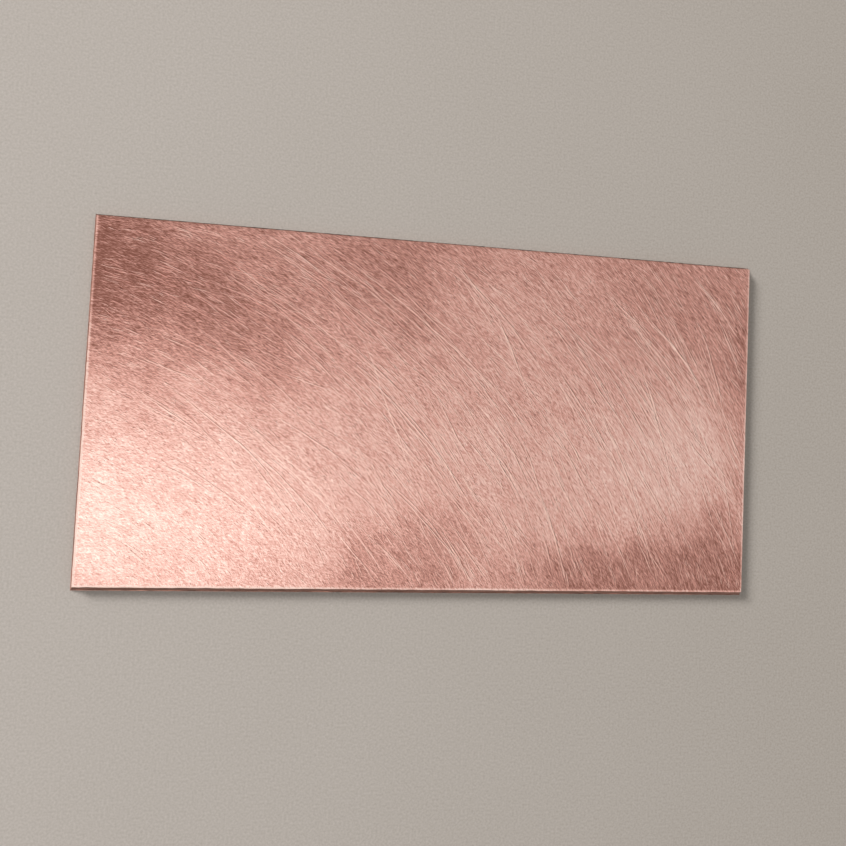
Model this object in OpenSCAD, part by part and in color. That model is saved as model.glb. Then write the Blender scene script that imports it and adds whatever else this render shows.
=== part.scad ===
// Copper clad board: a brown resin laminate with a copper foil on each face, sheared to size.
// It lies flat. The origin is the centre of the lower face, X runs along the length and Z is up.

/* [Board] */
// Length over all, across the lower foil
board_length = 100; // [40:1:300]
// Width over all, across the lower foil
board_width = 52; // [20:1:200]
// Thickness over all, foils included
board_thickness = 1.6; // [1.2:0.1:3.2]

/* [Foils] */
// Thickness of the upper foil
upper_foil = 0.035; // [0.018:0.001:0.105]
// Thickness of the lower foil
lower_foil = 0.035; // [0.018:0.001:0.105]
// How far the lower foil is drawn out past the core
foil_lip = 0.1; // [0.02:0.01:0.3]

/* [Sheared edges] */
// Width of the rim where the blade rolled the upper face down
rollover_width = 0.3; // [0.1:0.05:0.8]
// Depth of that rim at the edge
rollover_depth = 0.1; // [0.02:0.01:0.15]
// Height of the smooth land that the blade cut into the core
cut_height = 0.35; // [0.1:0.05:0.5]
// How far the broken stretch below the land leans out along the front edge
front_lean = 0.65; // [0.1:0.05:1.2]
// The same lean along the back edge
back_lean = 0.35; // [0.1:0.05:1.2]
// The same lean along the left edge
left_lean = 0.35; // [0.1:0.05:1.2]
// The same lean along the right edge
right_lean = 0.5; // [0.1:0.05:1.2]
// Height of the steep foot below the broken stretch
foot_height = 0.2; // [0.05:0.05:0.3]

/* [Hidden] */

// The rolled rim is drawn as an arc in flat steps, stretched to its width and depth
rim_arc = 60;
rim_steps = 6;

// Distance from the origin to each edge of the upper face, inside the lip and the lean below it
front_edge = board_width / 2 - foil_lip - front_lean;
back_edge = board_width / 2 - foil_lip - back_lean;
left_edge = board_length / 2 - foil_lip - left_lean;
right_edge = board_length / 2 - foil_lip - right_lean;

// Heights of the edge's stretches, from the rim down
core_rim_z = board_thickness - rollover_depth - upper_foil;
cut_bottom_z = core_rim_z - cut_height;
foot_top_z = lower_foil + foot_height;

copper_colour = [0.84, 0.64, 0.58];
dull_copper_colour = [0.70, 0.47, 0.40];
core_colour = [0.40, 0.28, 0.22];

// Points from the flat face out over the rolled rim to an edge, lowered by drop
function rim_points(edge, drop) = [
    for (i = [0:rim_steps])
        let (a = rim_arc * i / rim_steps)
        [
            edge - rollover_width * (1 - sin(a) / sin(rim_arc)),
            board_thickness - drop - rollover_depth * (1 - cos(a)) / (1 - cos(rim_arc))
        ]
];

// One side of the section through a block with a rolled rim and an upright side
function block_side(edge, drop) = concat(rim_points(edge, drop), [[edge, foot_top_z - drop]]);

// One side of the section through the core: rim, cut land, broken stretch and foot
function core_side(edge, lean) = concat(
    rim_points(edge, upper_foil),
    [
        [edge, cut_bottom_z],
        [edge + lean, foot_top_z],
        [edge + lean, lower_foil]
    ]
);

// A whole section: the side at the positive end, and the other one mirrored
function whole_section(plus_side, minus_side) = concat(
    plus_side,
    [for (i = [len(minus_side) - 1:-1:0]) [-minus_side[i].x, minus_side[i].y]]
);

// A solid whose long section and cross section are given, so its corners are mitred
module crossed_sections(long_section, cross_section) {
    intersection() {
        rotate([90, 0, 0])
            linear_extrude(height = board_width, center = true)
                polygon(long_section);
        rotate([90, 0, 90])
            linear_extrude(height = board_length, center = true)
                polygon(cross_section);
    }
}

// A block of the upper face's outline with rolled rims, lowered by drop
module rolled_block(drop = 0) {
    crossed_sections(
        whole_section(block_side(right_edge, drop), block_side(left_edge, drop)),
        whole_section(block_side(back_edge, drop), block_side(front_edge, drop))
    );
}

// Upper foil: one even skin that follows the rolled rim down to the edge
module copper_foil_top() {
    color(copper_colour)
        difference() {
            rolled_block();
            rolled_block(drop = upper_foil);
        }
}

// Core: fills the space between the foils and carries the sheared edges
module laminate_core() {
    color(core_colour)
        crossed_sections(
            whole_section(core_side(right_edge, right_lean), core_side(left_edge, left_lean)),
            whole_section(core_side(back_edge, back_lean), core_side(front_edge, front_lean))
        );
}

// Lower foil: flat, and drawn out a little past the foot of the core
module copper_foil_bottom() {
    color(dull_copper_colour)
        translate([0, 0, lower_foil / 2])
            cube([board_length, board_width, lower_foil], center = true);
}

copper_foil_top();
laminate_core();
copper_foil_bottom();
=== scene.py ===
"""Copper clad board: a blank of brown resin laminate with scrubbed copper on its faces and sheared edges.

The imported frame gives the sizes. This file adds what a hand and a shear left on the board: the rolled
rim of the upper foil, the cut and broken edge of the core, the torn lip of the lower foil, and the
scratches of a coarse pad that swung in arcs over the face.
"""

import logging
import math
import random
from dataclasses import dataclass, field
from enum import Enum
from typing import Any, Callable, NamedTuple, Optional

import bmesh
import bpy
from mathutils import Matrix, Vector, noise

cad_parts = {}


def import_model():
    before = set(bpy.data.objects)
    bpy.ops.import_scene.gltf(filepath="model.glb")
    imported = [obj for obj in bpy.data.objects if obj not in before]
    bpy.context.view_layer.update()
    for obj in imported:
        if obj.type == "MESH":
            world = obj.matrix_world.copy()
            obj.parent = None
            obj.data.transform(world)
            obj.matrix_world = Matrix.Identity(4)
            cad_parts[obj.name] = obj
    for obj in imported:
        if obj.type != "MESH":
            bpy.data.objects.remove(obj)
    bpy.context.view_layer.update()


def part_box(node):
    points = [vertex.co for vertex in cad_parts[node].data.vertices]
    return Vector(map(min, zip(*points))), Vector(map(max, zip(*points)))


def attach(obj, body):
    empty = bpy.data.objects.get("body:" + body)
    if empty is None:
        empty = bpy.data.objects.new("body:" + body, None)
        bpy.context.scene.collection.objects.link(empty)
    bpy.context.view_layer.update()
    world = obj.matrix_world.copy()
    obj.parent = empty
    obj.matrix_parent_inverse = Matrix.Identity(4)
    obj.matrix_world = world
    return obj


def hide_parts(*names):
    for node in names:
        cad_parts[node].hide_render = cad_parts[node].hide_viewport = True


LOG = logging.getLogger("copper_clad_board")
MM = 0.001
BODY = "root"
# The frame nodes of the foils and the core
UPPER_NODE = "copper_foil_top"
CORE_NODE = "laminate_core"
LOWER_NODE = "copper_foil_bottom"
# The attribute that holds how strong each scratch is
STRENGTH = "strength"
# The photograph is this many pixels wide
PICTURE_WIDTH = 846.0
# Side points are told from the flat faces by a rectangle this far inside the edge
INSIDE = 1.0 * MM


class Axis(Enum):
    """An edge's direction, with the cuts of two passes that leave steps of about a quarter millimetre."""

    X = (19, 19)
    Y = (12, 15)


class Run(NamedTuple):
    """How a scratch runs: least and most length in millimetres, rings it is cut in, factor on its width."""

    shortest: float
    longest: float
    rings: int
    breadth: float


class Stroke(Enum):
    """A kind of scratch."""

    LONG = Run(9.0, 34.0, 14, 1.05)
    MEDIUM = Run(3.0, 10.0, 6, 0.9)
    SHORT = Run(0.8, 3.2, 3, 0.85)
    DASH = Run(0.3, 1.0, 2, 1.2)


def clamped(value: float) -> float:
    """Keeps a value between 0 and 1."""
    return min(1.0, max(0.0, value))


def at_least(least: float, share: float) -> float:
    """Squeezes a share of 0 to 1 so that it starts at a least value and still ends at 1."""
    return least + (1.0 - least) * share


def linear_from_hex(code: str) -> tuple[float, float, float, float]:
    """Turns an sRGB hex colour into the linear colour that a shader takes.

    Args:
        code: Six hex digits, such as "D5A497".

    Returns:
        Red, green, blue and an alpha of 1.
    """
    channels = []
    for start in (0, 2, 4):
        value = int(code[start:start + 2], 16) / 255.0
        channels.append(value / 12.92 if value <= 0.04045 else ((value + 0.055) / 1.055) ** 2.4)
    return (channels[0], channels[1], channels[2], 1.0)


def add_node(
    tree: bpy.types.NodeTree,
    kind: str,
    inputs: Optional[dict] = None,
    **settings: Any,
) -> bpy.types.Node:
    """Adds one shader node with its settings, values and links.

    Args:
        tree: The material's or world's node tree.
        kind: The node's type name, such as "ShaderNodeMath".
        inputs: For each input's name or index, a value or the socket that feeds it.
        **settings: Properties of the node itself, such as operation="ADD".

    Returns:
        The new node.
    """
    node = tree.nodes.new(kind)
    for name, value in settings.items():
        setattr(node, name, value)
    for key, value in (inputs or {}).items():
        if isinstance(value, bpy.types.NodeSocket):
            tree.links.new(value, node.inputs[key])
        else:
            node.inputs[key].default_value = value
    return node


def new_material(name: str) -> bpy.types.Material:
    """Makes an empty node material.

    Args:
        name: What the finish is called.

    Returns:
        The material, with no nodes in it.
    """
    material = bpy.data.materials.new(name)
    material.use_nodes = True
    material.node_tree.nodes.clear()
    return material


def place_in_mm(tree: bpy.types.NodeTree) -> bpy.types.NodeSocket:
    """Adds the nodes that give a point's place on the board in millimetres.

    Args:
        tree: The material's node tree.

    Returns:
        The socket of the place.
    """
    coordinates = add_node(tree, "ShaderNodeTexCoord")
    scaled = add_node(tree, "ShaderNodeVectorMath", {0: coordinates.outputs["Object"], "Scale": 1.0 / MM},
                      operation="SCALE")
    return scaled.outputs[0]


def place_on_face(tree: bpy.types.NodeTree) -> bpy.types.NodeSocket:
    """Adds the nodes that give a point's place in millimetres, brought down to no height.

    Args:
        tree: The material's node tree.

    Returns:
        The socket of the place.
    """
    return add_node(tree, "ShaderNodeVectorMath", {0: place_in_mm(tree), 1: (1.0, 1.0, 0.0)},
                    operation="MULTIPLY").outputs[0]


def weighted_sum(
    tree: bpy.types.NodeTree, parts: list[tuple[bpy.types.NodeSocket, float, float]]
) -> bpy.types.NodeSocket:
    """Adds up sockets by their weights, each measured from its own middle.

    Args:
        tree: The material's node tree.
        parts: For each socket, its weight and its middle.

    Returns:
        The socket of the sum, which swings about 0.
    """
    total: Any = 0.0
    for socket, weight, middle in parts:
        share = add_node(tree, "ShaderNodeMath", {0: socket, 1: weight, 2: -middle * weight},
                         operation="MULTIPLY_ADD")
        total = add_node(tree, "ShaderNodeMath", {0: share.outputs[0], 1: total}, operation="ADD").outputs[0]
    return total


def ramp_between(
    tree: bpy.types.NodeTree, value: bpy.types.NodeSocket, stops: list[tuple[float, tuple]]
) -> bpy.types.NodeSocket:
    """Adds a colour ramp.

    Args:
        tree: The material's node tree.
        value: What runs along the ramp.
        stops: Places from 0 to 1, rising, each with its colour.

    Returns:
        The socket of the colour.
    """
    ramp = add_node(tree, "ShaderNodeValToRGB", {0: value})
    elements = ramp.color_ramp.elements
    elements[0].position, elements[0].color = stops[0]
    elements[1].position, elements[1].color = stops[-1]
    for position, colour in stops[1:-1]:
        elements.new(position).color = colour
    return ramp.outputs[0]


@dataclass(frozen=True)
class ScrubArc:
    """One sweep of the hand: scratches that run round a point off the board, in millimetres."""

    centre_x: float
    centre_y: float
    reach: float = 105.0

    def direction(self, x: float, y: float) -> float:
        """Gives the way that the scratches run at a point.

        Args:
            x: Place along the board, in millimetres.
            y: Place across the board, in millimetres.

        Returns:
            The angle of the run above the X axis, in radians.
        """
        return math.atan2(self.centre_x - x, y - self.centre_y)

    def unroll(self, tree: bpy.types.NodeTree, place: bpy.types.NodeSocket) -> tuple:
        """Adds nodes that turn a place into a distance across and a run along the scratches.

        Args:
            tree: The material's node tree.
            place: Place on the face, in millimetres.

        Returns:
            The sockets of the distance across and of the run along, both in millimetres.
        """
        arm = add_node(tree, "ShaderNodeVectorMath", {0: place, 1: (self.centre_x, self.centre_y, 0.0)},
                       operation="SUBTRACT")
        across = add_node(tree, "ShaderNodeVectorMath", {0: arm.outputs[0]}, operation="LENGTH")
        split = add_node(tree, "ShaderNodeSeparateXYZ", {0: arm.outputs[0]})
        angle = add_node(tree, "ShaderNodeMath", {0: split.outputs[1], 1: split.outputs[0]},
                         operation="ARCTAN2")
        run = add_node(tree, "ShaderNodeMath", {0: angle.outputs[0], 1: self.reach}, operation="MULTIPLY")
        return across.outputs["Value"], run.outputs[0]


# The main sweep of the hand, and two weaker ones that cross it at a shallow angle
MAIN_SWEEP = ScrubArc(-72.0, -68.0)
STEEP_SWEEP = ScrubArc(-104.0, -50.0)
FLAT_SWEEP = ScrubArc(-46.0, -104.0)


@dataclass(frozen=True)
class TonePatch:
    """A soft patch of painted reflection on the face, lighter or darker than the rest: centre, reach and turn
    in mm and degrees.
    """

    x: float
    y: float
    reach_x: float
    reach_y: float
    turn: float
    tone: float
    core: float = 0.0


# How far the noise moves the patches' borders, in millimetres
PATCH_STRAY_MM = 14.0

# Patches of painted reflection, darker (below 0) or lighter (above 0) than the rest of the face
PAINTED_REFLECTION_PATCHES = (
    TonePatch(x=-33.0, y=16.0, reach_x=30.0, reach_y=17.0, turn=-8.0, tone=-0.34),
    TonePatch(x=-38.0, y=-16.0, reach_x=34.0, reach_y=24.0, turn=-6.0, tone=0.20),
    TonePatch(x=-4.0, y=-22.0, reach_x=16.0, reach_y=11.0, turn=35.0, tone=-0.18, core=0.45),
    TonePatch(x=36.0, y=-24.0, reach_x=32.0, reach_y=12.0, turn=-4.0, tone=-0.32, core=0.3),
    TonePatch(x=-50.0, y=22.0, reach_x=17.0, reach_y=24.0, turn=0.0, tone=-0.34),
    TonePatch(x=-8.0, y=23.0, reach_x=20.0, reach_y=9.0, turn=0.0, tone=-0.20),
    TonePatch(x=-6.0, y=14.0, reach_x=15.0, reach_y=9.0, turn=-30.0, tone=-0.20),
    TonePatch(x=8.0, y=-9.0, reach_x=66.0, reach_y=20.0, turn=0.0, tone=0.09),
    TonePatch(x=-50.0, y=-14.0, reach_x=14.0, reach_y=18.0, turn=0.0, tone=0.14),
    TonePatch(x=40.0, y=18.0, reach_x=32.0, reach_y=18.0, turn=-14.0, tone=-0.16),
    TonePatch(x=0.0, y=30.0, reach_x=80.0, reach_y=12.0, turn=0.0, tone=-0.10),
    TonePatch(x=41.0, y=-5.0, reach_x=25.0, reach_y=15.0, turn=0.0, tone=0.16),
    TonePatch(x=51.0, y=0.0, reach_x=11.0, reach_y=40.0, turn=0.0, tone=-0.16),
)


def painted_reflection_tones(tree: bpy.types.NodeTree, place: bpy.types.NodeSocket) -> bpy.types.NodeSocket:
    """Adds the soft light and dark patches of painted reflection on the face.

    Args:
        tree: The material's node tree.
        place: Place on the face, in millimetres.

    Returns:
        A socket of the tone: 0 is the middle, above is lighter, below is darker.
    """
    # The noise seldom swings far, so the borders end up ragged by a few millimetres
    ragged = add_node(tree, "ShaderNodeTexNoise", {"Vector": place, "Scale": 0.11, "Detail": 3.0})
    offset = add_node(tree, "ShaderNodeVectorMath", {0: ragged.outputs[1], 1: (0.5, 0.5, 0.5)},
                      operation="SUBTRACT")
    moved = add_node(tree, "ShaderNodeVectorMath",
                     {0: offset.outputs[0], 1: (PATCH_STRAY_MM, PATCH_STRAY_MM, 0.0), 2: place},
                     operation="MULTIPLY_ADD")
    flat = add_node(tree, "ShaderNodeVectorMath", {0: moved.outputs[0], 1: (1.0, 1.0, 0.0)},
                    operation="MULTIPLY")
    total: Any = 0.0
    for patch in PAINTED_REFLECTION_PATCHES:
        local = add_node(tree, "ShaderNodeMapping", {"Vector": flat.outputs[0]}, vector_type="TEXTURE")
        local.inputs["Location"].default_value = (patch.x, patch.y, 0.0)
        local.inputs["Rotation"].default_value = (0.0, 0.0, math.radians(patch.turn))
        local.inputs["Scale"].default_value = (patch.reach_x, patch.reach_y, 1.0)
        far = add_node(tree, "ShaderNodeVectorMath", {0: local.outputs[0]}, operation="LENGTH")
        soft = add_node(tree, "ShaderNodeMapRange",
                        {0: far.outputs["Value"], 1: patch.core, 2: 1.0, 3: patch.tone, 4: 0.0},
                        interpolation_type="SMOOTHSTEP")
        total = add_node(tree, "ShaderNodeMath", {0: soft.outputs[0], 1: total}, operation="ADD").outputs[0]
    return total


@dataclass(frozen=True)
class ScrubbedCopper:
    """Electrodeposited copper foil scrubbed by hand with a coarse pad.

    It gives a pale pink metal with a satin face: hairlines in arcs, bumped and painted as short bright
    and dark threads that are partly painted glint and shade, under light and dark patches of painted
    reflection, with a painted highlight along the rim.
    """

    name: str = "scrubbed_copper"
    light: str = "FFE0D4"
    middle: str = "DDA598"
    dark: str = "8B5B4F"
    roughness: float = 0.34
    relief_mm: float = 0.003
    # The rim's painted highlight is full up to the first distance from the edge, and gone from the second one
    # on
    rim_highlight_mm: tuple = (0.12, 0.42)

    def threads(
        self, tree: bpy.types.NodeTree, sweep: tuple, spacing: float, length: float, layer: float
    ) -> bpy.types.NodeSocket:
        """Adds noise that is drawn out along a sweep.

        Args:
            tree: The material's node tree.
            sweep: The sockets of the distance across and the run along the scratches.
            spacing: Distance from one thread to the next, in millimetres.
            length: How far a thread runs, in millimetres.
            layer: A number that keeps this set apart from the others.

        Returns:
            A socket that swings about 0.5.
        """
        across = add_node(tree, "ShaderNodeMath", {0: sweep[0], 1: 1.0 / spacing}, operation="MULTIPLY")
        along = add_node(tree, "ShaderNodeMath", {0: sweep[1], 1: 1.0 / length}, operation="MULTIPLY")
        place = add_node(tree, "ShaderNodeCombineXYZ", {0: across.outputs[0], 1: along.outputs[0], 2: layer})
        threads = add_node(tree, "ShaderNodeTexNoise",
                           {"Vector": place.outputs[0], "Scale": 1.0, "Detail": 1.0, "Roughness": 0.5})
        return threads.outputs[0]

    def painted_rim_highlight(self, tree: bpy.types.NodeTree, place: bpy.types.NodeSocket) -> bpy.types.NodeSocket:
        """Adds a painted highlight along the rolled rim, but for the back one.

        Args:
            tree: The material's node tree.
            place: Place on the face, in millimetres.

        Returns:
            A socket that is 1 at the edge and 0 inside the rim.
        """
        split = add_node(tree, "ShaderNodeSeparateXYZ", {0: place})
        edge = Outline.of_node(UPPER_NODE)
        bright_to, plain_from = self.rim_highlight_mm
        nearest: Any = plain_from
        for socket, border, sign in ((0, edge.left, 1.0), (0, edge.right, -1.0), (1, edge.front, 1.0)):
            gap = add_node(tree, "ShaderNodeMath",
                           {0: split.outputs[socket], 1: sign, 2: -border * sign / MM},
                           operation="MULTIPLY_ADD")
            nearest = add_node(tree, "ShaderNodeMath", {0: gap.outputs[0], 1: nearest},
                               operation="MINIMUM").outputs[0]
        return add_node(tree, "ShaderNodeMapRange",
                        {0: nearest, 1: bright_to, 2: plain_from, 3: 1.0, 4: 0.0},
                        interpolation_type="SMOOTHSTEP").outputs[0]

    def build(self) -> bpy.types.Material:
        """Builds the material.

        Returns:
            The material.
        """
        material = new_material(self.name)
        tree = material.node_tree
        flat = place_on_face(tree)
        # The hand wavers: a sweep wanders by about a millimetre and kinks by a few hundredths
        waver = add_node(tree, "ShaderNodeTexNoise", {"Vector": flat, "Scale": 0.03, "Detail": 1.0})
        kink = add_node(tree, "ShaderNodeTexNoise", {"Vector": flat, "Scale": 0.40, "Detail": 1.0})
        wander = weighted_sum(tree, [(waver.outputs[0], 3.0, 0.5), (kink.outputs[0], 0.10, 0.5)])
        sweeps = []
        for arc in (MAIN_SWEEP, STEEP_SWEEP, FLAT_SWEEP):
            across, along = arc.unroll(tree, flat)
            moved = add_node(tree, "ShaderNodeMath", {0: across, 1: wander}, operation="ADD")
            sweeps.append((moved.outputs[0], along))
        main, steep, level = sweeps
        # Hairlines about 3 mm long, over nicks half a millimetre long that run with them. The pad's finest
        # lines wouldn't show in the picture, so both are drawn about 0.1 mm apart
        fine = weighted_sum(tree, [
            (self.threads(tree, main, spacing=0.10, length=3.4, layer=1.7), 0.9, 0.5),
            (self.threads(tree, steep, spacing=0.11, length=2.6, layer=9.1), 0.7, 0.5),
            (self.threads(tree, level, spacing=0.11, length=2.6, layer=13.9), 0.7, 0.5),
        ])
        nicks = weighted_sum(tree, [
            (self.threads(tree, main, spacing=0.08, length=0.55, layer=21.3), 1.0, 0.5),
            (self.threads(tree, level, spacing=0.09, length=0.60, layer=25.7), 0.8, 0.5),
        ])
        grain = add_node(tree, "ShaderNodeTexNoise",
                         {"Vector": flat, "Scale": 10.0, "Detail": 1.0, "Roughness": 0.6})
        relief = weighted_sum(tree, [(fine, 0.5, 0.0), (nicks, 0.7, 0.0), (grain.outputs[0], 0.5, 0.5)])
        blotch = add_node(tree, "ShaderNodeTexNoise", {"Vector": flat, "Scale": 0.16, "Detail": 5.0})
        # The colour carries painted light: the patches of painted reflection, the rim's painted highlight,
        # and the threads, partly painted glint and shade
        shade = weighted_sum(tree, [
            (fine, 0.70, 0.0), (nicks, 0.92, 0.0), (grain.outputs[0], 0.50, 0.5),
            (blotch.outputs[0], 0.16, 0.5), (painted_reflection_tones(tree, flat), 1.0, 0.0),
            (self.painted_rim_highlight(tree, flat), 0.42, 0.0),
        ])
        level_of = add_node(tree, "ShaderNodeMath", {0: shade, 1: 0.5}, operation="ADD", use_clamp=True)
        colour = ramp_between(tree, level_of.outputs[0], [
            (0.0, linear_from_hex(self.dark)), (0.5, linear_from_hex(self.middle)),
            (1.0, linear_from_hex(self.light)),
        ])
        gloss = add_node(tree, "ShaderNodeMath", {0: shade, 1: -0.14, 2: self.roughness},
                         operation="MULTIPLY_ADD")
        bump = add_node(tree, "ShaderNodeBump",
                        {"Height": relief, "Strength": 1.0, "Distance": self.relief_mm * MM})
        shader = add_node(tree, "ShaderNodeBsdfPrincipled",
                          {"Base Color": colour, "Metallic": 1.0, "Roughness": gloss.outputs[0],
                           "Normal": bump.outputs[0]})
        add_node(tree, "ShaderNodeOutputMaterial", {"Surface": shader.outputs[0]})
        return material


@dataclass(frozen=True)
class CutCopper:
    """Copper cut by a single grit.

    The burr it threw up is smoother than the face round it, and paler: partly the fresh copper's own
    colour, partly a painted glint. The groove beside the burr is a dark strip of painted shade.
    """

    name: str
    faint: str
    strong: str
    roughness: float
    # How much the colour follows the face's patches of painted reflection
    follows_painted_reflection: float

    def build(self) -> bpy.types.Material:
        """Builds the material.

        Returns:
            The material.
        """
        material = new_material(self.name)
        tree = material.node_tree
        # Each scratch has its own strength, and swells and fades over a few millimetres of its run
        strength = add_node(tree, "ShaderNodeAttribute", attribute_name=STRENGTH)
        run = add_node(tree, "ShaderNodeTexNoise",
                       {"Vector": place_in_mm(tree), "Scale": 0.7, "Detail": 2.0})
        share = weighted_sum(tree, [(strength.outputs["Fac"], 1.0, 0.0), (run.outputs[0], 0.9, 0.5),
                                    (painted_reflection_tones(tree, place_on_face(tree)), self.follows_painted_reflection, 0.0)])
        colour = ramp_between(tree, share, [
            (0.0, linear_from_hex(self.faint)), (1.0, linear_from_hex(self.strong)),
        ])
        shader = add_node(tree, "ShaderNodeBsdfPrincipled",
                          {"Base Color": colour, "Metallic": 1.0, "Roughness": self.roughness})
        add_node(tree, "ShaderNodeOutputMaterial", {"Surface": shader.outputs[0]})
        return material


FRESH_BURR_AND_PAINTED_GLINT = CutCopper(name="fresh_copper_and_painted_glint", faint="DCA194", strong="FFDDCF", roughness=0.30,
                       follows_painted_reflection=1.0)
GROOVE_PAINTED_SHADE = CutCopper(name="groove_painted_shade", faint="B27566", strong="43201A", roughness=0.45,
                        follows_painted_reflection=-0.6)


@dataclass(frozen=True)
class ShearedLaminate:
    """Brown phenolic paper laminate, sheared.

    The blade leaves a smooth dark land under the rim. Below it the laminate broke, and shows its
    paper layers as a rough reddish brown band with pale fibre ends. The top of the break is painted
    darker as shade under the rim, and the foot is painted darker as shade along the floor.
    """

    name: str = "resin_laminate"
    land: str = "7E5949"
    # The upper break is painted shade under the rim, and the foot is painted shade along the floor
    shaded_upper_break: str = "6A4A3D"
    lower_break: str = "A07363"
    foot: str = "553A2F"
    fibre: str = "B08A76"
    # Heights of the cut land's lower end and of the foot's upper end, and how far the finish blends there
    land_mm: float = 1.115
    foot_mm: float = 0.235
    blend_mm: float = 0.05

    def build(self) -> bpy.types.Material:
        """Builds the material.

        Returns:
            The material.
        """
        material = new_material(self.name)
        tree = material.node_tree
        place = place_in_mm(tree)
        height = add_node(tree, "ShaderNodeSeparateXYZ", {0: place}).outputs[2]
        wobble = add_node(tree, "ShaderNodeTexNoise", {"Vector": place, "Scale": 1.1, "Detail": 3.0})
        level = weighted_sum(tree, [(height, 1.0, 0.0), (wobble.outputs[0], 0.35, 0.5)])
        top_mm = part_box(UPPER_NODE)[1].z / MM
        share = add_node(tree, "ShaderNodeMapRange", {0: level, 1: 0.0, 2: top_mm, 3: 0.0, 4: 1.0})
        land = self.land_mm / top_mm
        foot = self.foot_mm / top_mm
        # Darker at the foot and at the top of the break: painted shade along the floor and under the rim
        band = ramp_between(tree, share.outputs[0], [
            (foot * 0.9, linear_from_hex(self.foot)), (foot * 1.9, linear_from_hex(self.lower_break)),
            (0.5 * (foot + land), linear_from_hex(self.lower_break)),
            (land * 0.93, linear_from_hex(self.shaded_upper_break)), (land * 1.05, linear_from_hex(self.land)),
        ])
        # Paper layers about 0.12 mm thick, and fibre ends a few hundredths of a millimetre across
        layered = add_node(tree, "ShaderNodeVectorMath", {0: place, 1: (0.35, 0.35, 8.0)},
                           operation="MULTIPLY")
        layers = add_node(tree, "ShaderNodeTexNoise",
                          {"Vector": layered.outputs[0], "Scale": 1.0, "Detail": 2.0})
        fibres = add_node(tree, "ShaderNodeTexVoronoi", {"Vector": place, "Scale": 9.0})
        specks = add_node(tree, "ShaderNodeMapRange",
                          {0: fibres.outputs[0], 1: 0.10, 2: 0.30, 3: 0.55, 4: 0.0})
        dusted = add_node(tree, "ShaderNodeMix",
                          {0: specks.outputs[0], 6: band, 7: linear_from_hex(self.fibre)},
                          data_type="RGBA")
        dim = add_node(tree, "ShaderNodeMapRange", {0: layers.outputs[0], 1: 0.3, 2: 0.7, 3: 0.62, 4: 1.25})
        shaded = add_node(tree, "ShaderNodeMix", {0: 1.0, 6: dusted.outputs[2], 7: dim.outputs[0]},
                          data_type="RGBA", blend_type="MULTIPLY")
        smooth = add_node(tree, "ShaderNodeMapRange",
                          {0: level, 1: self.land_mm - self.blend_mm, 2: self.land_mm + self.blend_mm,
                           3: 0.85, 4: 0.38})
        relief = weighted_sum(tree, [(layers.outputs[0], 1.0, 0.5), (fibres.outputs[0], 0.6, 0.5)])
        bump = add_node(tree, "ShaderNodeBump", {"Height": relief, "Strength": 1.0, "Distance": 0.03 * MM})
        shader = add_node(tree, "ShaderNodeBsdfPrincipled",
                          {"Base Color": shaded.outputs[2], "Roughness": smooth.outputs[0],
                           "Normal": bump.outputs[0], "IOR": 1.55})
        add_node(tree, "ShaderNodeOutputMaterial", {"Surface": shader.outputs[0]})
        return material


@dataclass(frozen=True)
class DulledCopper:
    """Electrodeposited copper foil as it left the press, dulled by air and by fingers.

    It gives an even brownish pink, with faint drawn lines along the board and a few stains.
    """

    name: str = "dull_copper"
    clean: str = "C08A7A"
    stained: str = "8A5A4B"
    back_edge_dark: str = "1E1410"
    # The nearly black line starts this far across the board, and is full after the second distance
    back_dark_from_mm: float = 25.7
    back_dark_over_mm: float = 0.1
    roughness: float = 0.42

    def build(self) -> bpy.types.Material:
        """Builds the material.

        Returns:
            The material.
        """
        material = new_material(self.name)
        tree = material.node_tree
        place = place_in_mm(tree)
        # The drum's lines 0.3 mm apart and tens of millimetres long, under stains 8 to 20 mm across
        drawn = add_node(tree, "ShaderNodeVectorMath", {0: place, 1: (0.03, 3.0, 1.0)}, operation="MULTIPLY")
        lines = add_node(tree, "ShaderNodeTexNoise",
                         {"Vector": drawn.outputs[0], "Scale": 1.0, "Detail": 3.0})
        stains = add_node(tree, "ShaderNodeTexNoise",
                          {"Vector": place, "Scale": 0.09, "Detail": 5.0, "Distortion": 0.6})
        grain = add_node(tree, "ShaderNodeTexNoise", {"Vector": place, "Scale": 3.0, "Detail": 2.0})
        mix = weighted_sum(tree, [(stains.outputs[0], 1.6, 0.5), (lines.outputs[0], 0.5, 0.5),
                                  (grain.outputs[0], 0.35, 0.5)])
        share = add_node(tree, "ShaderNodeMath", {0: mix, 1: 0.5}, operation="ADD", use_clamp=True)
        colour = ramp_between(tree, share.outputs[0], [
            (0.1, linear_from_hex(self.stained)), (0.75, linear_from_hex(self.clean)),
        ])
        # The lip turns nearly black along the back edge
        across = add_node(tree, "ShaderNodeSeparateXYZ", {0: place}).outputs[1]
        back_edge_dark = add_node(tree, "ShaderNodeMapRange",
                         {0: across, 1: self.back_dark_from_mm, 2: self.back_dark_from_mm + self.back_dark_over_mm,
                          3: 0.0, 4: 1.0})
        back_darkened = add_node(tree, "ShaderNodeMix",
                          {0: back_edge_dark.outputs[0], 6: colour, 7: linear_from_hex(self.back_edge_dark)}, data_type="RGBA")
        gloss = add_node(tree, "ShaderNodeMath", {0: mix, 1: -0.12, 2: self.roughness},
                         operation="MULTIPLY_ADD")
        bump = add_node(tree, "ShaderNodeBump",
                        {"Height": lines.outputs[0], "Strength": 1.0, "Distance": 0.004 * MM})
        shader = add_node(tree, "ShaderNodeBsdfPrincipled",
                          {"Base Color": back_darkened.outputs[2], "Metallic": 1.0, "Roughness": gloss.outputs[0],
                           "Normal": bump.outputs[0]})
        add_node(tree, "ShaderNodeOutputMaterial", {"Surface": shader.outputs[0]})
        return material


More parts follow.
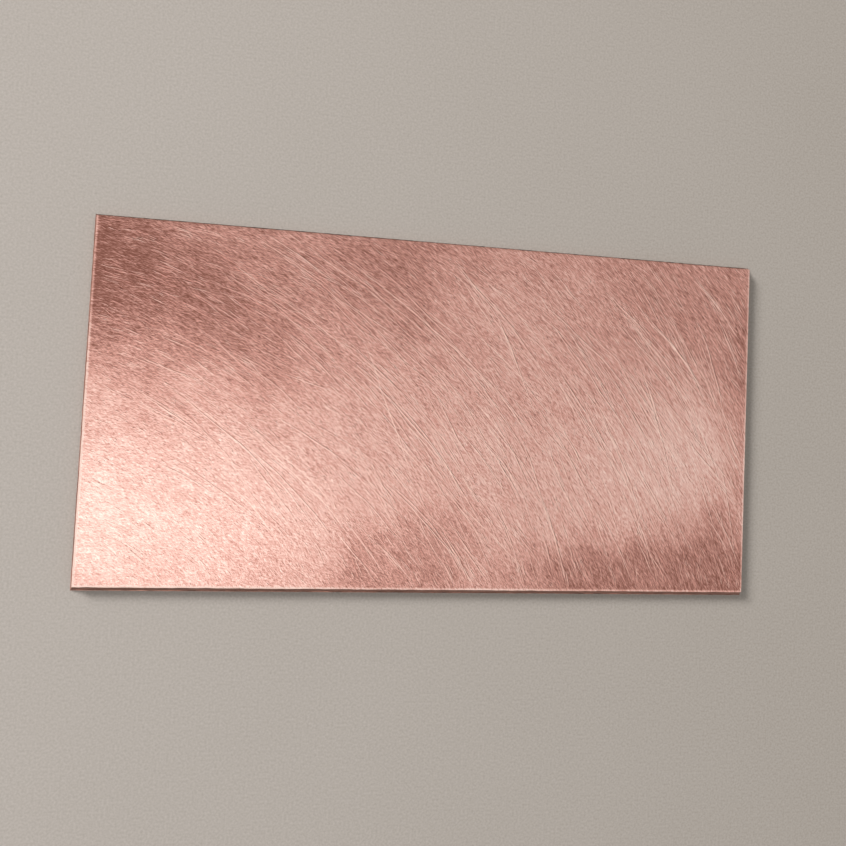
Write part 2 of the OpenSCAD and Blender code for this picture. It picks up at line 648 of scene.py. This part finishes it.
@dataclass(frozen=True)
class MattCard:
    """Matt grey-beige card: a plain pale ground with a fine grain, with painted shade that darkens it a
    little to the right.
    """

    name: str = "matt_card"
    light: str = "C1B9B2"
    shade: str = "A39B92"
    # The painted shade starts at the first place along X, and is full that many millimetres further on
    light_at_mm: float = -150.0
    shaded_after_mm: float = 270.0

    def build(self) -> bpy.types.Material:
        """Builds the material.

        Returns:
            The material.
        """
        material = new_material(self.name)
        tree = material.node_tree
        place = place_in_mm(tree)
        along = add_node(tree, "ShaderNodeSeparateXYZ", {0: place}).outputs[0]
        cloud = add_node(tree, "ShaderNodeTexNoise", {"Vector": place, "Scale": 0.03, "Detail": 3.0})
        grain = add_node(tree, "ShaderNodeTexNoise", {"Vector": place, "Scale": 3.2, "Detail": 1.0})
        tone = weighted_sum(tree, [(along, 1.0 / self.shaded_after_mm, self.light_at_mm),
                                   (cloud.outputs[0], 0.15, 0.5), (grain.outputs[0], 1.0, 0.5)])
        colour = ramp_between(tree, tone, [
            (0.0, linear_from_hex(self.light)), (1.0, linear_from_hex(self.shade)),
        ])
        shader = add_node(tree, "ShaderNodeBsdfPrincipled",
                          {"Base Color": colour, "Roughness": 0.9, "Specular IOR Level": 0.2})
        add_node(tree, "ShaderNodeOutputMaterial", {"Surface": shader.outputs[0]})
        return material


@dataclass(frozen=True)
class Outline:
    """A rectangle seen from above, in metres."""

    left: float
    right: float
    front: float
    back: float

    @classmethod
    def of_node(cls, node: str) -> "Outline":
        """Takes the outline of a frame node's box."""
        low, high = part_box(node)
        return cls(low.x, high.x, low.y, high.y)

    def grown(self, by: float) -> "Outline":
        """Moves every side outwards by a distance, or inwards if it is negative."""
        return Outline(self.left - by, self.right + by, self.front - by, self.back + by)

    def towards(self, other: "Outline", share: float) -> "Outline":
        """Gives the outline that lies part of the way to another one.

        Args:
            other: The outline at a share of 1.
            share: How far to go, from 0 to 1.

        Returns:
            The outline between them.
        """
        mine = (self.left, self.right, self.front, self.back)
        theirs = (other.left, other.right, other.front, other.back)
        return Outline(*(here + (there - here) * share for here, there in zip(mine, theirs)))

    @property
    def length(self) -> float:
        """Size along X."""
        return self.right - self.left

    @property
    def width(self) -> float:
        """Size along Y."""
        return self.back - self.front

    @property
    def centre(self) -> tuple[float, float, float]:
        """The middle, at no height."""
        return ((self.left + self.right) / 2, (self.front + self.back) / 2, 0.0)

    def holds(self, x: float, y: float) -> bool:
        """Tells whether a place lies inside."""
        return self.left < x < self.right and self.front < y < self.back

    def outward(self, place: Vector) -> Vector:
        """Gives the way out of the rectangle from a place beyond it.

        Args:
            place: A point outside the rectangle.

        Returns:
            The level vector from the nearest point of the rectangle to the place.
        """
        near_x = min(max(place.x, self.left), self.right)
        near_y = min(max(place.y, self.front), self.back)
        return Vector((place.x - near_x, place.y - near_y, 0.0))


@dataclass(frozen=True)
class RolledRim:
    """The rim that the blade rolled down: an arc stretched to a width and a depth, in metres."""

    width: float = 0.3 * MM
    depth: float = 0.1 * MM
    arc: float = math.radians(60.0)

    def rows(self, steps: int) -> list[tuple[float, float]]:
        """Gives the arc's points after the flat face.

        Args:
            steps: How many flat steps the arc has.

        Returns:
            For each point, its distance inside the edge and its drop below the face.
        """
        angles = [self.arc * step / steps for step in range(1, steps + 1)]
        return [(self.width * (1 - math.sin(angle) / math.sin(self.arc)),
                 self.depth * (1 - math.cos(angle)) / (1 - math.cos(self.arc))) for angle in angles]


def dress_piece(
    piece: bpy.types.Object, material: bpy.types.Material, node: Optional[str]
) -> None:
    """Gives a piece its finish and body, hides the frame node it stands for, and reports it.

    Args:
        piece: The finished object.
        material: Its finish.
        node: The frame node that the piece stands for, if any.
    """
    piece.data.materials.clear()
    piece.data.materials.append(material)
    bpy.ops.object.select_all(action="DESELECT")
    piece.select_set(True)
    bpy.context.view_layer.objects.active = piece
    bpy.ops.object.shade_smooth_by_angle(angle=math.radians(28.0))
    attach(piece, BODY)
    if node is not None:
        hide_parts(node)
    LOG.info("%s: %d faces, finish %s", piece.name, len(piece.data.polygons), material.name)


@dataclass
class OutlinePiece:
    """A piece that is drawn out row by row from a rectangular loop of short edges."""

    here: Outline = field(init=False)
    height: float = field(init=False)
    piece: bpy.types.Object = field(init=False)

    def start_loop(self, name: str, outline: Outline, height: float) -> None:
        """Adds a plane, keeps only its outline and cuts that into short edges, all selected.

        Args:
            name: What the piece is called.
            outline: The rectangle of the loop.
            height: Its height.
        """
        bpy.ops.object.select_all(action="DESELECT")
        bpy.ops.mesh.primitive_plane_add(size=1.0, location=(*outline.centre[:2], height))
        self.piece = bpy.context.object
        self.piece.name = name
        self.piece.scale = (outline.length, outline.width, 1.0)
        bpy.ops.object.transform_apply(location=True, rotation=True, scale=True)
        bpy.ops.object.mode_set(mode="EDIT")
        bpy.ops.mesh.select_mode(type="EDGE")
        bpy.ops.mesh.select_all(action="SELECT")
        bpy.ops.mesh.delete(type="ONLY_FACE")
        for axis in Axis:
            for cuts in axis.value:
                self.select_edges(axis)
                bpy.ops.mesh.subdivide(number_cuts=cuts)
        bpy.ops.mesh.select_all(action="SELECT")
        self.here = outline
        self.height = height

    def select_edges(self, axis: Axis) -> None:
        """Selects the edges that run along one axis and no others."""
        bpy.ops.mesh.select_all(action="DESELECT")
        loop = bmesh.from_edit_mesh(self.piece.data)
        for edge in loop.edges:
            run = edge.verts[0].co - edge.verts[1].co
            edge.select_set((abs(run.x) > abs(run.y)) == (axis is Axis.X))
        bmesh.update_edit_mesh(self.piece.data)

    def draw_to(self, outline: Outline, height: float) -> None:
        """Extrudes the selected loop to the next row.

        Args:
            outline: The next row's rectangle.
            height: Its height.
        """
        shift = Vector(outline.centre) - Vector(self.here.centre)
        shift.z = height - self.height
        bpy.ops.mesh.extrude_edges_move(TRANSFORM_OT_translate={"value": shift})
        growth = (outline.length / self.here.length, outline.width / self.here.width, 1.0)
        bpy.ops.transform.resize(value=growth, center_override=outline.centre)
        self.here = outline
        self.height = height

    def close(self) -> None:
        """Caps the selected loop and turns all faces outwards."""
        bpy.ops.mesh.edge_face_add()
        bpy.ops.mesh.select_all(action="SELECT")
        bpy.ops.mesh.normals_make_consistent(inside=False)
        bpy.ops.object.mode_set(mode="OBJECT")

    def move_points(self, shift: Callable[[Vector], Vector]) -> None:
        """Moves each point of the mesh.

        Args:
            shift: Gives a point's move from its place.
        """
        for point in self.piece.data.vertices:
            point.co += shift(point.co)


def face_wave(x: float, y: float) -> float:
    """Gives the slow waves of the scrubbed face, which its scratches follow.

    Args:
        x: Place along the board, in millimetres.
        y: Place across the board, in millimetres.

    Returns:
        How far the face lies above or below its mean height, in millimetres.
    """
    # Waves 9 mm and 4 mm long, up to a few micrometres high and cut off at the top
    place = Vector((x, y, 0.0))
    slow = noise.noise(place / 9.0) + 0.5 * noise.noise(place / 4.0)
    return 0.010 * min(slow, 0.6)


@dataclass
class UpperFoil:
    """The scrubbed foil: a flat face with a rolled rim, one even skin over the core."""

    node: str = UPPER_NODE
    rim: RolledRim = field(default_factory=RolledRim)
    thickness: float = 0.035 * MM
    cell: float = 0.5 * MM
    nick: float = 0.035 * MM
    # The nicks start this far outside the inner rectangle, and are full after the second distance
    nicks_from: float = 0.65 * MM
    nicks_over: float = 0.35 * MM
    piece: bpy.types.Object = field(init=False)

    def build(self, material: bpy.types.Material) -> None:
        """Builds and dresses the foil.

        Args:
            material: Its finish.
        """
        edge = Outline.of_node(self.node)
        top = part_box(self.node)[1].z
        self.lay_face(edge.grown(-self.rim.width), top)
        self.roll_rim(edge, top)
        self.weather(edge)
        self.thicken()
        dress_piece(self.piece, material, self.node)

    def lay_face(self, flat: Outline, top: float) -> None:
        """Adds the flat face as a grid.

        Args:
            flat: The face inside the rim.
            top: Its height.
        """
        bpy.ops.object.select_all(action="DESELECT")
        bpy.ops.mesh.primitive_grid_add(x_subdivisions=round(flat.length / self.cell),
                                        y_subdivisions=round(flat.width / self.cell),
                                        size=1.0, location=(*flat.centre[:2], top))
        self.piece = bpy.context.object
        self.piece.name = "scrubbed_foil"
        self.piece.scale = (flat.length, flat.width, 1.0)
        bpy.ops.object.transform_apply(location=True, rotation=True, scale=True)

    def roll_rim(self, edge: Outline, top: float) -> None:
        """Draws the rim down and out from the face's border.

        Args:
            edge: The outer edge of the rim.
            top: The height of the flat face.
        """
        bpy.ops.object.mode_set(mode="EDIT")
        bpy.ops.mesh.select_mode(type="EDGE")
        bpy.ops.mesh.select_all(action="DESELECT")
        bpy.ops.mesh.select_non_manifold()
        here = edge.grown(-self.rim.width)
        height = top
        for inset, drop in self.rim.rows(steps=6):
            row = edge.grown(-inset)
            down = (0.0, 0.0, top - drop - height)
            bpy.ops.mesh.extrude_edges_move(TRANSFORM_OT_translate={"value": down})
            bpy.ops.transform.resize(value=(row.length / here.length, row.width / here.width, 1.0),
                                     center_override=row.centre)
            here = row
            height = top - drop
        bpy.ops.object.mode_set(mode="OBJECT")

    def weather(self, edge: Outline) -> None:
        """Moves the points a little: slow waves on the face, and small nicks and bruises on the rim.

        Args:
            edge: The outer edge of the rim.
        """
        inner = edge.grown(-INSIDE)
        for point in self.piece.data.vertices:
            place = point.co / MM
            way = inner.outward(point.co)
            rim_share = clamped((way.length - self.nicks_from) / self.nicks_over)
            # The edge is ragged over 1.3 and 0.5 mm, and bruised every few millimetres
            ragged = noise.noise(place / 1.3) + 0.6 * noise.noise(place / 0.5)
            bruise = max(0.0, noise.noise(place / 2.6) - 0.25) * 2.0
            point.co.z += face_wave(place.x, place.y) * MM * (1.0 - rim_share)
            if rim_share > 0.0:
                point.co += way.normalized() * ragged * self.nick * rim_share
                point.co.z -= bruise * self.nick * rim_share

    def thicken(self) -> None:
        """Gives the skin its even thickness, downwards, and applies it."""
        bpy.ops.object.select_all(action="DESELECT")
        self.piece.select_set(True)
        bpy.context.view_layer.objects.active = self.piece
        wall = self.piece.modifiers.new("foil", "SOLIDIFY")
        wall.thickness = self.thickness
        wall.offset = -1.0
        bpy.ops.object.modifier_apply(modifier=wall.name)


@dataclass
class ShearedCore(OutlinePiece):
    """The core: a rolled shoulder under the foil, the cut land, the broken stretch and the foot."""

    node: str = CORE_NODE
    rim: RolledRim = field(default_factory=RolledRim)
    cut_height: float = 0.35 * MM
    foot_height: float = 0.20 * MM
    # How many rows of points the land, the broken stretch and the foot have
    rows: tuple = (3, 10, 2)
    roughness: float = 0.055 * MM
    # A point this far outside the inner rectangle is on the side
    side_from: float = 0.95 * MM
    # The land keeps this share of the roughness, and it is full this far below the land
    land_share: float = 0.06
    rough_after: float = 0.2 * MM

    def build(self, material: bpy.types.Material) -> None:
        """Builds and dresses the core.

        Args:
            material: Its finish.
        """
        edge = Outline.of_node(UPPER_NODE)
        foot = Outline.of_node(self.node)
        low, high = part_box(self.node)
        cut_top = high.z - self.rim.depth
        cut_bottom = cut_top - self.cut_height
        foot_top = low.z + self.foot_height
        self.start_loop("sheared_core", edge.grown(-self.rim.width), high.z)
        bpy.ops.mesh.edge_face_add()
        for inset, drop in self.rim.rows(steps=3):
            self.draw_to(edge.grown(-inset), high.z - drop)
        land_rows, broken_rows, foot_rows = self.rows
        for step in range(1, land_rows + 1):
            self.draw_to(edge, cut_top - self.cut_height * step / land_rows)
        for step in range(1, broken_rows + 1):
            share = step / broken_rows
            self.draw_to(edge.towards(foot, share), cut_bottom + (foot_top - cut_bottom) * share)
        for step in range(1, foot_rows + 1):
            self.draw_to(foot, foot_top - self.foot_height * step / foot_rows)
        self.close()
        inner = edge.grown(-INSIDE)
        self.move_points(lambda place: self.break_up(place, inner, cut_bottom, low.z))
        dress_piece(self.piece, material, self.node)

    def break_up(self, place: Vector, inner: Outline, cut_bottom: float, bottom: float) -> Vector:
        """Gives a side point's move: fine ripples on the land, torn layers where the laminate broke.

        Args:
            place: Where the point is.
            inner: A rectangle inside the edge, which tells what is a side point.
            cut_bottom: The height where the cut land ends.
            bottom: The height of the core's lower face.

        Returns:
            The move.
        """
        way = inner.outward(place)
        if way.length < self.side_from:
            return Vector()
        point = place / MM
        torn = min(1.0, max(self.land_share, (cut_bottom - place.z) / self.rough_after))
        layered = Vector((point.x * 0.8, point.y * 0.8, point.z * 7.0))
        rough = noise.noise(layered) + 0.7 * noise.noise(point * 2.3) - 0.35
        if place.z <= bottom + 1e-7:
            rough = min(rough, 0.0)
        return way.normalized() * rough * torn * self.roughness


@dataclass
class LowerFoil(OutlinePiece):
    """The lower foil: flat, with a torn lip that the shear drew out past the core."""

    node: str = LOWER_NODE
    lip: float = 0.15 * MM
    tear: float = 0.05 * MM
    lift: float = 0.05 * MM

    def build(self, material: bpy.types.Material) -> None:
        """Builds and dresses the foil.

        Args:
            material: Its finish.
        """
        outline = Outline.of_node(self.node)
        low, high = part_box(self.node)
        lip = outline.grown(-self.lip)
        self.start_loop("lower_foil", lip, high.z)
        bpy.ops.mesh.edge_face_add()
        self.draw_to(outline, high.z)
        self.draw_to(outline, high.z / 2)
        self.draw_to(outline, low.z)
        self.draw_to(lip, low.z)
        self.close()
        self.move_points(lambda place: self.tear_lip(place, lip))
        dress_piece(self.piece, material, self.node)

    def tear_lip(self, place: Vector, lip: Outline) -> Vector:
        """Gives a lip point's move: in along the tear, and up where the burr curls.

        Args:
            place: Where the point is.
            lip: The line where the lip starts.

        Returns:
            The move.
        """
        way = lip.outward(place)
        if way.length < self.lip / 2:
            return Vector()
        point = Vector((place.x / MM, place.y / MM, 0.0))
        torn = 0.5 + 0.5 * noise.noise(point / 0.9) + 0.4 * noise.noise(point / 0.35)
        curl = max(0.0, noise.noise(point / 6.0) + 0.25)
        move = way.normalized() * (-self.tear * max(0.0, torn))
        move.z = self.lift * curl
        return move


@dataclass
class ScratchMesh:
    """Many fine strokes in one mesh, each standing a few micrometres out of the face."""

    name: str
    height_mm: float
    width_mm: float = 0.14
    sunk_mm: float = 0.004
    points: list = field(default_factory=list)
    faces: list = field(default_factory=list)
    strengths: list = field(default_factory=list)

    def lay(
        self, stroke: tuple[list, list], path: list, aside: float, thickness: float, strength: float
    ) -> None:
        """Copies the modelled stroke along a path.

        Args:
            stroke: The stroke's points and faces.
            path: The places, heights and directions of its rings, in millimetres and radians.
            aside: How far to the left of the path it lies, in millimetres.
            thickness: A factor on its width and height.
            strength: How strong it looks, from 0 to 1.
        """
        points, faces = stroke
        first = len(self.points)
        rings = len(path) - 1
        for run, across, up in points:
            x, y, level, way = path[round(run * rings)]
            taper = max(0.15, math.sin(math.pi * min(max(run, 0.02), 0.98)) ** 0.6)
            side = aside + across * 0.5 * self.width_mm * thickness * taper
            x -= math.sin(way) * side
            y += math.cos(way) * side
            height = level - self.sunk_mm + up * (self.sunk_mm + self.height_mm * thickness * taper)
            self.points.append((x * MM, y * MM, height * MM))
        self.faces.extend(tuple(first + corner for corner in face) for face in faces)
        self.strengths.extend([strength] * len(faces))

    def build(self, material: bpy.types.Material) -> None:
        """Makes the mesh and dresses it.

        Args:
            material: Its finish.
        """
        mesh = bpy.data.meshes.new(self.name)
        mesh.from_pydata(self.points, [], self.faces)
        mesh.attributes.new(STRENGTH, "FLOAT", "FACE").data.foreach_set("value", self.strengths)
        piece = bpy.data.objects.new(self.name, mesh)
        bpy.context.collection.objects.link(piece)
        dress_piece(piece, material, None)


@dataclass
class Scrubbing:
    """The scratches of the face, along the arcs of the scrubbing hand.

    Each grit threw up a burr, partly fresh copper and partly a painted glint, and most left a groove beside
    it, laid as a dark strip of painted shade. A dash is such a dark strip on its own, where the grit only bit
    for a moment. The lower left corner is worn smooth and has the fewest.
    """

    seed: int = 7
    # The worn corner: its centre, its reach, and the share of the reach that is barest
    corner: tuple = (-40.0, -20.0)
    corner_reach: tuple = (34.0, 21.0)
    corner_bare: float = 0.35
    # Along the board, the long scratches grow more from the first place to the second
    right_from: float = -42.0
    right_full: float = -2.0
    # Across the board, the dashes fade over this distance
    dashes_fade_mm: float = 30.0
    # Turns, in radians: how much bundles and the scratches in them spread, and how much a scratch kinks
    bundle_spread: float = 0.07
    scratch_spread: float = 0.02
    kink: float = 0.045
    # One bundle in three crosses the others at one of these turns
    crossings: tuple = (0.0, 0.0, 0.0, 0.0, 0.18, -0.16)
    bundle_sizes: tuple = (1, 1, 2, 3, 4)
    # A scratch that would run off the face is drawn again, each time shorter
    tries: int = 4
    shorter: float = 0.6
    step_aside_mm: float = 0.8
    width_spread: tuple = (0.7, 1.15)
    groove_chance: float = 0.7
    groove_strength: float = 0.7
    groove_aside_mm: float = 0.13
    # Scratches stay this far inside the face's edge
    border: float = 0.4 * MM
    least_strength: dict = field(default_factory=lambda: {Stroke.LONG: 0.45, Stroke.DASH: 0.3})
    bundles: dict = field(default_factory=lambda: {
        Stroke.LONG: 175, Stroke.MEDIUM: 380, Stroke.SHORT: 1850, Stroke.DASH: 1900})
    burrs: ScratchMesh = field(default_factory=lambda: ScratchMesh("scratch_burrs", height_mm=0.006))
    grooves: ScratchMesh = field(default_factory=lambda: ScratchMesh("scratch_groove_shade", height_mm=0.002))

    def model_stroke(self, rings: int) -> tuple[list, list]:
        """Models one straight stroke of unit length: a three-sided bar in short lengths, corner up.

        Args:
            rings: How many lengths it has.

        Returns:
            Its points, as run, across and up, and its faces.
        """
        bpy.ops.object.select_all(action="DESELECT")
        upright = (math.pi / 2, 0.0, math.pi / 2)
        bpy.ops.mesh.primitive_cylinder_add(vertices=3, radius=1.0, depth=1.0, end_fill_type="NGON",
                                            location=(0.5, 0.0, 0.0), rotation=upright)
        bar = bpy.context.object
        bpy.ops.object.transform_apply(location=True, rotation=True, scale=True)
        bpy.ops.object.mode_set(mode="EDIT")
        bpy.ops.mesh.select_mode(type="EDGE")
        bpy.ops.mesh.select_all(action="DESELECT")
        loop = bmesh.from_edit_mesh(bar.data)
        for edge in loop.edges:
            edge.select_set(abs(edge.verts[0].co.x - edge.verts[1].co.x) > 0.5)
        bmesh.update_edit_mesh(bar.data)
        bpy.ops.mesh.subdivide(number_cuts=rings - 1)
        bpy.ops.object.mode_set(mode="OBJECT")
        crest = max(point.co.z for point in bar.data.vertices)
        foot = min(point.co.z for point in bar.data.vertices)
        half = max(abs(point.co.y) for point in bar.data.vertices)
        points = [(point.co.x, point.co.y / half, (point.co.z - foot) / (crest - foot))
                  for point in bar.data.vertices]
        faces = [tuple(face.vertices) for face in bar.data.polygons]
        bpy.data.objects.remove(bar, do_unlink=True)
        return points, faces

    def wanted(self, kind: Stroke, x: float, y: float) -> float:
        """Tells how likely a kind of scratch is to start at a place.

        Args:
            kind: The kind of scratch.
            x: Place along the board, in millimetres.
            y: Place across the board, in millimetres.

        Returns:
            A chance from 0 to 1.
        """
        rightward = clamped((x - self.right_from) / (self.right_full - self.right_from))
        from_corner = math.hypot((x - self.corner[0]) / self.corner_reach[0],
                                 (y - self.corner[1]) / self.corner_reach[1])
        off_corner = clamped(from_corner - self.corner_bare)
        if kind is Stroke.LONG:
            return at_least(0.12, rightward) * off_corner
        if kind is Stroke.MEDIUM:
            return at_least(0.25, off_corner)
        if kind is Stroke.SHORT:
            return at_least(0.35, (1.0 - 0.6 * rightward) * off_corner)
        # Dashes are fewest at the front right
        frontward = clamped(0.5 - y / self.dashes_fade_mm)
        return at_least(0.15, off_corner) * (1.0 - 0.65 * rightward * frontward)

    def trace(
        self, dice: random.Random, rings: int, start: tuple, lean: float, run: float, top_mm: float
    ) -> list:
        """Follows one scratch over the face.

        Args:
            dice: The seeded random source.
            rings: How many lengths it is cut in.
            start: Where it starts, in millimetres.
            lean: Its turn away from the main sweep, in radians.
            run: Its length, in millimetres.
            top_mm: The mean height of the face, in millimetres.

        Returns:
            The places, heights and directions of its rings.
        """
        x, y = start
        bend = 0.0
        path = []
        for _ in range(rings + 1):
            way = MAIN_SWEEP.direction(x, y) + lean + bend
            path.append((x, y, top_mm + face_wave(x, y), way))
            x += math.cos(way) * run / rings
            y += math.sin(way) * run / rings
            bend = 0.6 * bend + dice.gauss(0.0, self.kink)
        return path

    def lay_scratch(self, dice: random.Random, stroke: tuple, kind: Stroke, path: list) -> None:
        """Lays the burr and the groove of one scratch.

        Args:
            dice: The seeded random source.
            stroke: The stroke's points and faces.
            kind: The kind of scratch.
            path: The places, heights and directions of its rings.
        """
        thickness = kind.value.breadth * dice.uniform(*self.width_spread)
        strength = at_least(self.least_strength.get(kind, 0.0), dice.random() ** 1.2)
        if kind is Stroke.DASH:
            self.grooves.lay(stroke, path, 0.0, thickness, strength)
            return
        # A groove is laid as a dark strip of painted shade beside the burr
        if dice.random() < self.groove_chance:
            self.grooves.lay(stroke, path, self.groove_aside_mm, thickness, self.groove_strength * strength)
        self.burrs.lay(stroke, path, 0.0, thickness, strength)

    def lay_bundle(
        self, dice: random.Random, stroke: tuple, kind: Stroke, start: tuple, flat: Outline, top_mm: float
    ) -> None:
        """Lays a few scratches that run side by side.

        Args:
            dice: The seeded random source.
            stroke: The stroke's points and faces.
            kind: The kind of scratch.
            start: Where the first one starts, in millimetres.
            flat: The part of the face that scratches stay on.
            top_mm: The mean height of the face, in millimetres.
        """
        x, y = start
        lean = dice.gauss(0.0, self.bundle_spread) + dice.choice(self.crossings)
        for _ in range(dice.choice(self.bundle_sizes)):
            # Short runs are commoner than long ones
            longer = (kind.value.longest - kind.value.shortest) * dice.random() ** 1.8
            run = kind.value.shortest + longer
            for _ in range(self.tries):
                turn = lean + dice.gauss(0.0, self.scratch_spread)
                path = self.trace(dice, kind.value.rings, (x, y), turn, run, top_mm)
                if all(flat.holds(place[0] * MM, place[1] * MM) for place in path):
                    self.lay_scratch(dice, stroke, kind, path)
                    break
                run *= self.shorter
            x += dice.gauss(0.0, self.step_aside_mm)
            y += dice.gauss(0.0, self.step_aside_mm)

    def build(self, burr: bpy.types.Material, groove: bpy.types.Material) -> None:
        """Lays all the scratches, and builds and dresses both meshes.

        Args:
            burr: The finish of the burrs.
            groove: The finish of the grooves, painted dark as their shade.
        """
        dice = random.Random(self.seed)
        flat = Outline.of_node(UPPER_NODE).grown(-self.border)
        top_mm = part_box(UPPER_NODE)[1].z / MM
        for kind, bundles in self.bundles.items():
            stroke = self.model_stroke(kind.value.rings)
            laid = 0
            while laid < bundles:
                x = dice.uniform(flat.left, flat.right) / MM
                y = dice.uniform(flat.front, flat.back) / MM
                if dice.random() <= self.wanted(kind, x, y):
                    self.lay_bundle(dice, stroke, kind, (x, y), flat, top_mm)
                    laid += 1
        self.burrs.build(burr)
        self.grooves.build(groove)


@dataclass
class Studio:
    """Floor, lights and camera, in metres."""

    floor_size: float = 2.2
    # How strongly the room lights the board, how pale the metal shows its far and near side, and how pale
    # the camera sees it
    room_light: float = 0.28
    room_far: float = 0.69
    room_near: float = 1.07
    room_shown: float = 0.80
    # The floor lies this far below the board, so that the lower foil keeps a face of its own
    floor_gap: float = 0.01 * MM
    room_way: tuple = (-0.8, -0.6, 0.0)
    room_tint: tuple = (1.0, 0.985, 0.965, 1.0)
    camera_place: tuple = (-0.02547, 0.00104, 0.12361)
    camera_turn: tuple = (2.564, -10.648, 2.750)
    camera_shift: tuple = (0.0, -60.0 / PICTURE_WIDTH)
    # The lens is as long as the picture is wide
    lens_mm: float = 36.0

    def set_up(self) -> None:
        """Makes the camera, the floor, the world and the lamps."""
        self.add_camera()
        self.add_floor()
        self.add_sky()
        key = self.add_lamp("key", place=(-1.84, 1.44, 1.23), size=(0.8, 0.8), power=82.0)
        ceiling = self.add_lamp("ceiling", place=(0.25, 0.0, 1.3), size=(1.5, 1.0), power=3.4)
        # The mirror images of these two would burn out the copper, so the metal shows the room instead
        key.visible_glossy = False
        ceiling.visible_glossy = False
        self.add_lamp("overhead", place=(-0.16, -0.22, 1.2), size=(0.55, 0.42), power=0.55)

    def add_camera(self) -> None:
        """Adds the camera where the photograph was taken from."""
        bpy.ops.object.camera_add(location=self.camera_place,
                                  rotation=[math.radians(turn) for turn in self.camera_turn])
        camera = bpy.context.object
        camera.name = "camera"
        camera.data.lens = self.lens_mm
        camera.data.sensor_width = self.lens_mm
        camera.data.shift_x, camera.data.shift_y = self.camera_shift
        # Blender's usual near limit is about as far off as the board
        camera.data.clip_start = 0.005
        bpy.context.scene.camera = camera

    def add_floor(self) -> None:
        """Adds the floor that the board lies on."""
        bpy.ops.mesh.primitive_plane_add(size=self.floor_size, location=(0.0, 0.0, -self.floor_gap))
        floor = bpy.context.object
        floor.name = "floor"
        floor.data.materials.append(MattCard().build())

    def add_sky(self) -> None:
        """Adds the soft light of a pale room, which the camera and the metal see as a pale background."""
        world = bpy.data.worlds.new("soft_room")
        world.use_nodes = True
        tree = world.node_tree
        tree.nodes.clear()
        direction = add_node(tree, "ShaderNodeTexCoord")
        side = add_node(tree, "ShaderNodeVectorMath", {0: direction.outputs["Generated"], 1: self.room_way},
                        operation="DOT_PRODUCT")
        seen = add_node(tree, "ShaderNodeMapRange",
                        {0: side.outputs["Value"], 1: -1.0, 2: 1.0, 3: self.room_far, 4: self.room_near})
        rays = add_node(tree, "ShaderNodeLightPath")
        mirrored = add_node(tree, "ShaderNodeMix",
                            {0: rays.outputs["Is Glossy Ray"], 2: self.room_light, 3: seen.outputs[0]},
                            data_type="FLOAT")
        strength = add_node(tree, "ShaderNodeMix",
                            {0: rays.outputs["Is Camera Ray"], 2: mirrored.outputs[0], 3: self.room_shown},
                            data_type="FLOAT")
        glow = add_node(tree, "ShaderNodeBackground",
                        {"Color": self.room_tint, "Strength": strength.outputs[0]})
        add_node(tree, "ShaderNodeOutputWorld", {"Surface": glow.outputs[0]})
        bpy.context.scene.world = world

    def add_lamp(self, name: str, place: tuple, size: tuple, power: float) -> bpy.types.Object:
        """Adds a rectangular soft lamp that faces the board.

        Args:
            name: What the lamp is called.
            place: Where it hangs.
            size: Its width and height.
            power: Its power, in watts.

        Returns:
            The lamp.
        """
        bpy.ops.object.light_add(type="AREA", location=place)
        lamp = bpy.context.object
        lamp.name = name
        lamp.data.shape = "RECTANGLE"
        lamp.data.size, lamp.data.size_y = size
        lamp.data.energy = power
        lamp.rotation_euler = (-Vector(place)).to_track_quat("-Z", "Y").to_euler()
        return lamp


def main() -> None:
    """Builds the studio and the board's pieces in order."""
    logging.basicConfig(level=logging.INFO, format="%(message)s")
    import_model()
    bpy.context.scene.view_settings.view_transform = "Standard"
    Studio().set_up()
    LowerFoil().build(DulledCopper().build())
    ShearedCore().build(ShearedLaminate().build())
    UpperFoil().build(ScrubbedCopper().build())
    Scrubbing().build(FRESH_BURR_AND_PAINTED_GLINT.build(), GROOVE_PAINTED_SHADE.build())
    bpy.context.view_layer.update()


if __name__ == "__main__":
    main()
